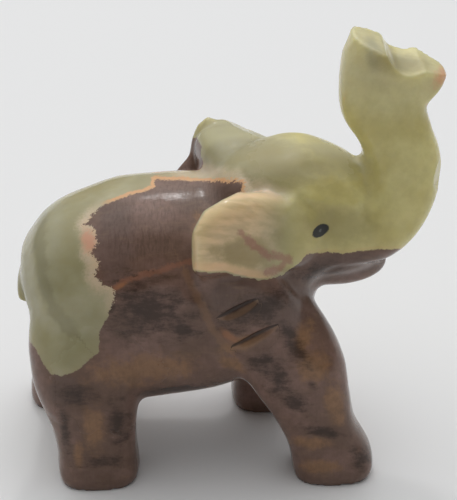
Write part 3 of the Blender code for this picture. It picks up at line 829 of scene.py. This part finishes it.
def finish_skin(elephant, voxel):
    """Rounds the cut edges off a little, flattens the soles and adds the finest tool marks."""
    fuse(elephant, voxel, RUB_STEPS)
    mesh = elephant.data
    points = read_points(mesh)
    normals = read_points(mesh, "normal")
    on_side = np.clip(np.abs(normals[:, 1]) / SIDEWAYS_ENOUGH, 0, 1)
    depth = np.zeros(len(points))
    for path in (EAR_FOLD, EAR_RIDGE, EAR_UNDERFOLD):
        depth += fold(points, path, FINE_FOLD_HALF_WIDTH, FINE_FOLD_DEPTH)
    depth *= on_side
    for size, height in ((UNEVEN_SIZE, UNEVEN_DEPTH), (GRIND_MARK_SIZE, GRIND_MARK_DEPTH)):
        depth += height * np.array([noise.noise(Vector(point) / size) for point in points])
    points -= depth[:, None] * normals
    for at, facing, reach in FINE_FACETS:
        grind(points, at, facing, reach)
    soles = points[:, 2] < SOLE_SKIN
    points[soles, 2] = 0.0
    write_points(mesh, points)


def inside_gap(flat, outline):
    """How far each point is inside a closed outline. It is negative outside."""
    corners = np.array(outline, float)
    nearest = np.full(len(flat), np.inf)
    inside = np.zeros(len(flat), bool)
    for a, b in zip(corners, np.roll(corners, -1, axis=0)):
        run = b - a
        share = np.clip(((flat - a) @ run) / (run @ run), 0, 1)
        nearest = np.minimum(nearest, np.linalg.norm(flat - a - share[:, None] * run, axis=1))
        crosses = (a[1] > flat[:, 1]) != (b[1] > flat[:, 1])
        if a[1] != b[1]:
            at = a[0] + (flat[:, 1] - a[1]) * run[0] / run[1]
            inside ^= crosses & (flat[:, 0] < at)
    return np.where(inside, nearest, -nearest)


def plain_places(points):
    """Where each point lies in the leaning sheet, without its bend."""
    return np.stack((points @ LAYER_ACROSS, points @ LAYER_UP), axis=1)


def layer_places(points):
    """Where each point lies in the leaning sheet, which bends down again over the far side."""
    bent = points.copy()
    beyond = np.log1p(np.exp((points[:, 1] - FAR_SIDE_START) / FAR_SIDE_SOFTNESS)) * FAR_SIDE_SOFTNESS
    bent[:, 1] -= FAR_SIDE_BEND * beyond
    return plain_places(bent)


def patch_strength(flat, patches):
    """One in the middle of a patch, nothing at its rim and negative outside."""
    best = np.full(len(flat), -np.inf)
    for across, up, half_length, half_height, tilt in patches:
        turn = math.radians(tilt)
        offset = flat - (across, up)
        along = (offset[:, 0] * math.cos(turn) + offset[:, 1] * math.sin(turn)) / half_length
        square = (offset[:, 1] * math.cos(turn) - offset[:, 0] * math.sin(turn)) / half_height
        best = np.maximum(best, 1 - np.hypot(along, square))
    return best


def on_ear(points, normals, flat):
    """How far inside an ear's flap each point is, and how squarely it faces outward there."""
    side = np.sign(points[:, 1])
    near = points.copy()
    near[:, 1] = -np.abs(points[:, 1])
    near[:, 0] -= np.where(side > 0, LEFT_EAR_FORWARD, 0)
    faces_out = normals[:, 0] * EAR_OUTWARD[0] - side * normals[:, 1] * EAR_OUTWARD[1]
    thickness = np.where(faces_out > 0, EAR_HALF_THICKNESS, EAR_BACK_THICKNESS)
    inward = (near[:, :2] - EAR_REAR) @ np.array(EAR_OUTWARD) + thickness
    gap = np.minimum(inside_gap(plain_places(near), EAR_OUTLINE), inward)
    return gap, faces_out


def path_gap(flat, path):
    """Signed distance to an open line in the sheet."""
    padded = np.stack((flat[:, 0], np.zeros(len(flat)), flat[:, 1]), axis=1)
    return near_path(padded, path)[0]


def in_slash(points):
    """How far up a slash's hollow each point is: 1 at its upper lip, -1 at its lower one."""
    places = np.full(len(points), OFF_SLASH)
    for path in (UPPER_SLASH, LOWER_SLASH):
        gap, share = near_path(points, path)
        swell = np.sqrt(np.clip(4 * share * (1 - share), LEAST_SWELL, 1))
        place = gap / (SLASH_HALF_WIDTH * swell)
        places = np.where(np.abs(place) < np.abs(places), place, places)
    return places


def warm_border(points, flat):
    """How orange the brown layer's border is: along the back, and a little elsewhere."""
    back = patch_strength(flat, WARM_BACK) * WARM_RISE
    rest = np.minimum(patch_strength(flat, WARM_REST) * WARM_RISE, WARM_REST_SHARE)
    far_ear = (points[:, 1] > FAR_EAR[0]) & (points[:, 2] > FAR_EAR[1])
    return np.where(far_ear, 0, np.clip(np.maximum(back, rest), 0, 1))


def cream_border(flat):
    """How cream the paler layer is beside the brown one: on the rump, and less elsewhere."""
    return np.clip(patch_strength(flat, CREAM_RUMP) * CREAM_RISE, LEAST_CREAM, 1)


def lay_bands(elephant):
    """Notes on the skin how deep each point lies in each layer, vein and patch of the stone."""
    mesh = elephant.data
    points = read_points(mesh)
    normals = read_points(mesh, "normal")
    flat = layer_places(points)
    brown = inside_gap(flat, BROWN_STONE)
    ear, faces_out = on_ear(points, normals, flat)
    brown = np.where(ear > 0, -np.maximum(ear, EAR_CLEAR), brown)
    far_band = inside_gap(plain_places(points), FAR_EAR_BAND)
    brown = np.where(points[:, 1] > FAR_BAND_START, np.maximum(brown, far_band), brown)
    far_back = np.minimum(points[:, 1] - FAR_EAR[0], points[:, 2] - FAR_EAR[1])
    far_back = np.minimum(far_back, FAR_BACK_END - points[:, 0])
    from_eye = points[:, [0, 2]] - EYE
    depths = {
        "brown": brown,
        "ear": ear,
        "outer_face": faces_out,
        "forward": points[:, 0],
        "height": points[:, 2],
        "warm_border": warm_border(points, flat),
        "cream_border": cream_border(flat),
        "vein": path_gap(flat, FLANK_VEIN),
        "rump_vein": path_gap(flat, RUMP_VEIN),
        "ridge_highlight": path_gap(flat, SHOULDER_RIDGE),
        "pink": np.minimum(*(np.abs(path_gap(flat, vein)) for vein in PINK_VEINS)),
        "slash": in_slash(points),
        "far_back": np.minimum(far_back, (FAR_FACE - faces_out) * FAR_FACE_SCALE),
        "eye": np.linalg.norm(from_eye / EYE_RADII, axis=1),
        "eye_glint": np.linalg.norm(from_eye, axis=1) / EYE_GLINT_RADIUS,
    }
    for name, patches in PATCHES.items():
        depths[name] = patch_strength(flat, patches)
    for name, values in depths.items():
        layer = mesh.attributes.new(name, "FLOAT", "POINT")
        layer.data.foreach_set("value", values.astype(np.float32))
    sheet = np.column_stack((flat, points[:, 1])).astype(np.float32)
    mesh.attributes.new("sheet", "FLOAT_VECTOR", "POINT").data.foreach_set("vector", sheet.ravel())


class Stone:
    """Adds shader nodes to a material, fed with numbers, colours or other nodes' outputs."""

    def __init__(self, material):
        self.tree = material.node_tree
        self.sheet = self.node("ShaderNodeAttribute", "Vector", attribute_name="sheet")

    def node(self, kind, output, feeds=(), **settings):
        made = self.tree.nodes.new(kind)
        for name, value in settings.items():
            setattr(made, name, value)
        for name, value in dict(feeds).items():
            if isinstance(value, bpy.types.NodeSocket):
                self.tree.links.new(value, made.inputs[name])
            else:
                made.inputs[name].default_value = value
        return made.outputs[output]

    def depth(self, name):
        """How deep a point lies in one of the stone's layers, veins or patches."""
        return self.node("ShaderNodeAttribute", "Fac", attribute_name=name)

    def sum(self, first, second, operation="ADD"):
        return self.node("ShaderNodeMath", 0, {0: first, 1: second}, operation=operation)

    def times(self, first, second):
        return self.sum(first, second, "MULTIPLY")

    def rest(self, share):
        """What a share leaves of one."""
        return self.sum(1.0, share, "SUBTRACT")

    def cloud(self, size, detail, stretch=(1.0, 1.0, 1.0), roughness=0.5):
        """Even noise from 0 to 1 with lumps about size units wide, longer along a large stretch."""
        scale = tuple(1 / (size * factor) for factor in stretch)
        place = self.node("ShaderNodeVectorMath", 0, {0: self.sheet, 1: scale}, operation="MULTIPLY")
        feeds = {"Vector": place, "Scale": 1.0, "Detail": detail, "Roughness": roughness}
        return self.node("ShaderNodeTexNoise", 0, feeds)

    def step(self, value, low, high):
        """Rises smoothly from 0 at low to 1 at high."""
        feeds = {"Value": value, "From Min": low, "From Max": high}
        return self.node("ShaderNodeMapRange", 0, feeds, interpolation_type="SMOOTHSTEP")

    def blend(self, share, first, second):
        """The first colour where share is 0 and the second where it is 1."""
        made = self.tree.nodes.new("ShaderNodeMix")
        made.data_type = "RGBA"
        for index, value in ((MIX_SHARE, share), (MIX_FIRST, first), (MIX_SECOND, second)):
            if isinstance(value, bpy.types.NodeSocket):
                self.tree.links.new(value, made.inputs[index])
            elif index == MIX_SHARE:
                made.inputs[index].default_value = value
            else:
                made.inputs[index].default_value = (*linear(*value), 1.0)
        return made.outputs[MIX_RESULT]

    def jagged(self, value, coarse, fine):
        """Moves a layer's border in and out by broken, crystalline steps."""
        shift = self.times(self.sum(self.cloud(*BREAK_NOISE), -NOISE_MIDDLE), coarse)
        specks = self.times(self.sum(self.cloud(*SPECK_NOISE), -NOISE_MIDDLE), fine)
        return self.sum(self.sum(value, shift), specks)

    def line(self, value, half_width):
        """One on a line and nothing further from it than its half width."""
        gap = self.node("ShaderNodeMath", 0, {0: value}, operation="ABSOLUTE")
        return self.rest(self.step(gap, half_width * LINE_CORE, half_width))

    def mottle(self, name):
        """How strongly one of the clouds or streaks shows, from 0 to 1."""
        noise_values, begins, full = CLOUDS[name]
        return self.step(self.cloud(*noise_values), begins, full)

    def cover(self, colour, where, strength, tint):
        """Lays a tint over the colour, where a share says, at some strength."""
        return self.blend(self.times(where, strength), colour, tint)

    def stain(self, colour, name, depth=None):
        """Lays one of the patches over the colour."""
        coarse, fine, begins, full, strength, tint = STAINS[name]
        if depth is None:
            depth = self.depth(name)
        where = self.step(self.jagged(depth, coarse, fine), begins, full)
        return self.cover(colour, where, strength, tint)

    def vein(self, colour, name):
        """Draws one of the veins over the colour."""
        coarse, fine, half_width, strength, tint = VEINS[name]
        where = self.line(self.jagged(self.depth(name), coarse, fine), half_width)
        return self.cover(colour, where, strength, tint)


def green_stone(stone):
    """The paler layer: grey-green on the rump, more yellow on the head, with clouds and a vein, a
    painted sheen on the crown and painted shading over the cheek, the crown, the rump's top and the
    trunk.
    """
    broad = stone.mottle("green_broad")
    fine = stone.mottle("green_fine")
    rump = stone.blend(broad, RUMP_GREEN, RUMP_PALE)
    head = stone.blend(broad, HEAD_OLIVE, HEAD_PALE)
    head = stone.cover(head, stone.step(stone.depth("height"), *TIP_RUN), TIP_SHARE, TIP_PALE)
    colour = stone.blend(stone.step(stone.depth("forward"), *HEAD_RUN), rump, head)
    colour = stone.cover(colour, fine, GREEN_FINE_SHARE, DARK_OLIVE_AND_PAINTED_SHADE)
    # grey tone with a painted sheen on the crown, then painted shade over the cheek, crown, rump top and
    # trunk
    for name in ("grey", "painted_shade"):
        colour = stone.stain(colour, name)
    return stone.vein(colour, "rump_vein")


def brown_stone(stone):
    """The darker layer: brown and purple-brown, mottled with near-black and tan, finely streaked, with a
    painted highlight along the shoulder and painted light and shadow on the slashes' walls.
    """
    broad = stone.mottle("brown_broad")
    fine = stone.mottle("brown_fine")
    strokes = stone.mottle("brown_strokes")
    scratched = stone.sum(stone.step(stone.depth("scratched"), *PATCH_RUN), LEAST_STROKES)
    layers = stone.cloud(*LAYER_NOISE)
    colour = stone.blend(broad, BROWN, PURPLE_BROWN)
    for name in ("purple", "tan"):
        colour = stone.stain(colour, name)
    colour = stone.cover(colour, stone.step(layers, *LAYER_RUN), LAYER_SHARE, PALE_TAN)
    broken = stone.sum(stone.times(stone.sum(layers, -NOISE_MIDDLE), LAYER_BREAK), stone.depth("dark"))
    colour = stone.stain(colour, "dark", broken)
    colour = stone.cover(colour, fine, BROWN_FINE_SHARE, DEEP_BROWN)
    colour = stone.cover(colour, stone.times(strokes, scratched), STROKE_SHARE, DEEP_BROWN)
    # a painted highlight along the shoulder's ridge, then the red vein
    for name in ("ridge_highlight", "vein"):
        colour = stone.vein(colour, name)
    colour = stone.stain(colour, "orange")
    # painted light on each slash's lower wall and painted shadow on its upper wall
    slash = stone.depth("slash")
    for place, half_width, strength, tint in SLASH_WALL_LIGHT_AND_SHADE:
        colour = stone.cover(colour, stone.line(stone.sum(slash, -place), half_width), strength, tint)
    return colour


def ear_stone(stone, ear):
    """The cream face of each ear, with darker streaks, painted shading over its lower part and a warm
    rim at the rear.
    """
    colour = stone.cover(EAR_CREAM, stone.mottle("ear_streaks"), EAR_STREAK_SHARE, EAR_OLIVE)
    # painted shade over the ear's lower part
    colour = stone.stain(colour, "ear_painted_shade")
    rim = stone.rest(stone.step(ear, *EAR_RIM_RUN))
    return stone.cover(colour, rim, EAR_RIM_SHARE, EAR_RIM)


def bare_onyx(stone, brown, is_brown):
    """The colour of the stone before the eyes are drawn on it."""
    colour = stone.stain(green_stone(stone), "cream")
    halo = stone.times(stone.step(brown, *HALO_RUN), stone.depth("cream_border"))
    colour = stone.blend(halo, colour, CREAM)
    ear = stone.jagged(stone.depth("ear"), *EAR_BREAK)
    on_flap = stone.step(stone.depth("outer_face"), *EAR_FACE_RUN)
    behind = stone.rest(stone.step(stone.depth("forward"), *EAR_FRONT_RUN))
    is_ear = stone.times(stone.times(stone.step(ear, *EAR_RUN), on_flap), behind)
    colour = stone.blend(is_ear, colour, ear_stone(stone, ear))
    colour = stone.blend(stone.step(stone.depth("far_back"), *EAR_BACK_RUN), colour, EAR_BACK)
    colour = stone.stain(stone.vein(colour, "pink"), "peach")
    colour = stone.blend(is_brown, colour, brown_stone(stone))
    border = stone.line(stone.sum(brown, WARM_LINE_OUTSIDE), WARM_LINE_HALF_WIDTH)
    return stone.blend(stone.times(border, stone.depth("warm_border")), colour, ORANGE_TAN)


def onyx(settings):
    """Polished banded onyx, a little see-through, with the eyes drawn on in ink and a painted glint in
    each.
    """
    made = bpy.data.materials.new("polished_onyx")
    made.use_nodes = True
    stone = Stone(made)
    seam = stone.sum(stone.times(stone.depth("cream_border"), BROKEN_SEAM), SMOOTH_SEAM)
    brown = stone.jagged(stone.depth("brown"), settings.border_break, seam)
    is_brown = stone.step(brown, *BROWN_RUN)
    colour = bare_onyx(stone, brown, is_brown)
    inked = stone.rest(stone.step(stone.jagged(stone.depth("eye"), *INK_BREAK), *INK_RUN))
    colour = stone.cover(colour, inked, INK_SHARE, INK)
    # a painted glint in the middle of each eye
    centre = stone.rest(stone.step(stone.depth("eye_glint"), *EYE_GLINT_RUN))
    colour = stone.cover(colour, centre, EYE_GLINT_SHARE, PAINTED_EYE_GLINT)

    tree = made.node_tree
    shader = tree.nodes["Principled BSDF"]
    for name, value in SHINE.items():
        shader.inputs[name].default_value = value
    clear = stone.rest(stone.times(is_brown, 1 - BROWN_OPAQUE))
    tree.links.new(stone.times(clear, settings.translucence), shader.inputs["Subsurface Weight"])
    tree.links.new(colour, shader.inputs["Base Color"])
    dull = stone.times(stone.mottle("dull"), DULLEST - settings.polish_roughness)
    satin = stone.times(stone.step(stone.depth("satin"), *PATCH_RUN), SATIN)
    rough = stone.sum(stone.sum(dull, settings.polish_roughness), satin)
    tree.links.new(rough, shader.inputs["Roughness"])
    scratched = stone.times(stone.step(stone.depth("scratched"), *SCRATCH_RUN), SCRATCH_DEPTH)
    worn = stone.times(stone.step(stone.depth("worn"), *PATCH_RUN), WORN_DEPTH)
    scratched = stone.sum(stone.sum(scratched, LEAST_SCRATCH), worn)
    grain = stone.times(stone.cloud(*GRAIN_NOISE), GRAIN_DEPTH)
    height = stone.sum(grain, stone.times(stone.cloud(*SCRATCH_NOISE), scratched))
    feeds = {"Height": height, "Strength": settings.mark_strength, "Distance": MARK_HEIGHT}
    tree.links.new(stone.node("ShaderNodeBump", 0, feeds), shader.inputs["Normal"])
    return made


def number(name, description, default, **more):
    """A setting from 0 up, to 1 where it is a share."""
    limits = {"min": 0.0, **more}
    return bpy.props.FloatProperty(name=name, description=description, default=default, **limits)


class ElephantSettings(bpy.types.PropertyGroup):
    """How finely the stone is worked, and how it is finished."""

    finest_voxel: number("Finest voxel", "Smallest step of the skin, in layout units", 0.42, min=0.3)
    translucence: number("Translucence", "Share of the light that the skin lets in", 0.6, max=1.0)
    polish_roughness: number("Polish", "Roughness where the stone is polished best", 0.12, max=1.0)
    mark_strength: number("Grinding marks", "How strongly the fine marks show", 0.25, max=1.0)
    border_break: number("Border break", "How far the brown layer's border strays, in units", 0.7)


class StageSettings(bpy.types.PropertyGroup):
    """The floor and the studio's light."""

    floor_size: number("Floor size", "Side of the square floor", 4.0, min=0.5, unit="LENGTH")
    floor_colour: bpy.props.FloatVectorProperty(
        name="Floor colour",
        description="Colour of the floor",
        default=(0.80, 0.80, 0.80),
        min=0.0,
        max=1.0,
        subtype="COLOR",
    )
    lamp_power: number("Lamp", "Power of the small lamp above and behind, in watts", 0.34)
    ceiling_strength: number("Ceiling light", "Strength of the soft light from above", 1.96)
    room_strength: number("Room light", "Strength of the even light from all round", 0.14)


def ceiling_light(settings):
    """Soft light from all round, strongest from above and a little behind."""
    room = bpy.data.worlds.new("room")
    room.use_nodes = True
    tree = room.node_tree
    direction = tree.nodes.new("ShaderNodeTexCoord").outputs["Generated"]
    toward = tree.nodes.new("ShaderNodeVectorMath")
    toward.operation = "DOT_PRODUCT"
    toward.inputs[1].default_value = BRIGHTEST_WAY
    tree.links.new(direction, toward.inputs[0])
    value = toward.outputs["Value"]
    for operation, number in (
        ("MAXIMUM", 0.0),
        ("POWER", CEILING_FALLOFF),
        ("MULTIPLY", settings.ceiling_strength),
        ("ADD", settings.room_strength),
    ):
        step = tree.nodes.new("ShaderNodeMath")
        step.operation = operation
        step.inputs[1].default_value = number
        tree.links.new(value, step.inputs[0])
        value = step.outputs[0]
    sky = tree.nodes["Background"]
    sky.inputs["Color"].default_value = ROOM_COLOUR
    tree.links.new(value, sky.inputs["Strength"])
    return room


class ONYX_OT_elephant(bpy.types.Operator):
    """Carve the elephant from its layout, and polish it"""

    bl_idname = "onyx.elephant"
    bl_label = "Carve elephant"

    def execute(self, context):
        settings = context.scene.onyx_elephant
        elephant = rough_block()
        add_ears_and_tail(elephant)
        carve(elephant)
        cut_away(elephant, scoop_cutter())
        saw(elephant, *TIP_PLANE)
        for path in (UPPER_SLASH, LOWER_SLASH):
            for side in (1, -1):
                cut_away(elephant, slash_cutter(elephant, path, side))
        saw(elephant, (0, 0, 0), -UP)
        finish_skin(elephant, settings.finest_voxel)
        lay_bands(elephant)
        points = read_points(elephant.data) * UNIT
        middle = (points.min(axis=0) + points.max(axis=0)) / 2
        points[:, :2] += (np.array((LOW + HIGH) / 2) - middle)[:2]
        points[:, 2] += LOW.z
        write_points(elephant.data, points)
        elephant.data.shade_smooth()
        elephant.data.materials.append(onyx(settings))
        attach(elephant, BODY)
        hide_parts(NODE)
        return {"FINISHED"}


class ONYX_OT_stage(bpy.types.Operator):
    """Lay the floor, light it and set up the camera"""

    bl_idname = "onyx.stage"
    bl_label = "Set the stage"

    def execute(self, context):
        settings = context.scene.onyx_stage
        half = settings.floor_size / 2
        mesh = bpy.data.meshes.new("floor")
        corners = [(-half, -half, 0), (half, -half, 0), (half, half, 0), (-half, half, 0)]
        mesh.from_pydata(corners, [], [(0, 1, 2, 3)])
        floor = bpy.data.objects.new("floor", mesh)
        context.scene.collection.objects.link(floor)
        paint = bpy.data.materials.new("floor_paint")
        paint.use_nodes = True
        shader = paint.node_tree.nodes["Principled BSDF"]
        shader.inputs["Base Color"].default_value = (*settings.floor_colour, 1.0)
        shader.inputs["Roughness"].default_value = FLOOR_ROUGHNESS
        floor.data.materials.append(paint)

        context.scene.world = ceiling_light(settings)
        lamp = bpy.data.lights.new("lamp", "AREA")
        lamp.shape = "DISK"
        lamp.size = LAMP_SIZE
        lamp.energy = settings.lamp_power
        stand = bpy.data.objects.new("lamp", lamp)
        stand.location = LAMP_PLACE
        aim(stand, LAMP_AIM)
        context.scene.collection.objects.link(stand)

        camera = bpy.data.cameras.new("camera")
        camera.lens = LENS
        camera.clip_start = CLIP_START
        eye = bpy.data.objects.new("camera", camera)
        eye.location = CAMERA_PLACE
        aim(eye, CAMERA_TARGET)
        context.scene.collection.objects.link(eye)
        context.scene.camera = eye
        context.scene.view_settings.view_transform = "Standard"
        return {"FINISHED"}


class ONYX_PT_panel(bpy.types.Panel):
    """The elephant's and the stage's settings"""

    bl_idname = "ONYX_PT_panel"
    bl_label = "Onyx elephant"
    bl_space_type = "VIEW_3D"
    bl_region_type = "UI"
    bl_category = "Onyx"

    def draw(self, context):
        for settings, operator in (
            (context.scene.onyx_elephant, ONYX_OT_elephant),
            (context.scene.onyx_stage, ONYX_OT_stage),
        ):
            box = self.layout.box()
            for name in settings.__annotations__:
                box.prop(settings, name)
            box.operator(operator.bl_idname)


CLASSES = (ElephantSettings, StageSettings, ONYX_OT_elephant, ONYX_OT_stage, ONYX_PT_panel)


def register():
    for made in CLASSES:
        bpy.utils.register_class(made)
    bpy.types.Scene.onyx_elephant = bpy.props.PointerProperty(type=ElephantSettings)
    bpy.types.Scene.onyx_stage = bpy.props.PointerProperty(type=StageSettings)


def unregister():
    del bpy.types.Scene.onyx_stage
    del bpy.types.Scene.onyx_elephant
    for made in reversed(CLASSES):
        bpy.utils.unregister_class(made)


def clear_startup():
    """Removes what a new file holds besides the frame."""
    for name in ("Cube", "Light", "Camera"):
        if name in bpy.data.objects:
            bpy.data.objects.remove(bpy.data.objects[name])


def aim(obj, target):
    """Turns a lamp or camera to face a point."""
    obj.rotation_euler = (Vector(target) - obj.location).to_track_quat("-Z", "Y").to_euler()


def main():
    register()
    clear_startup()
    bpy.ops.onyx.elephant()
    bpy.ops.onyx.stage()


if __name__ == "__main__":
    main()
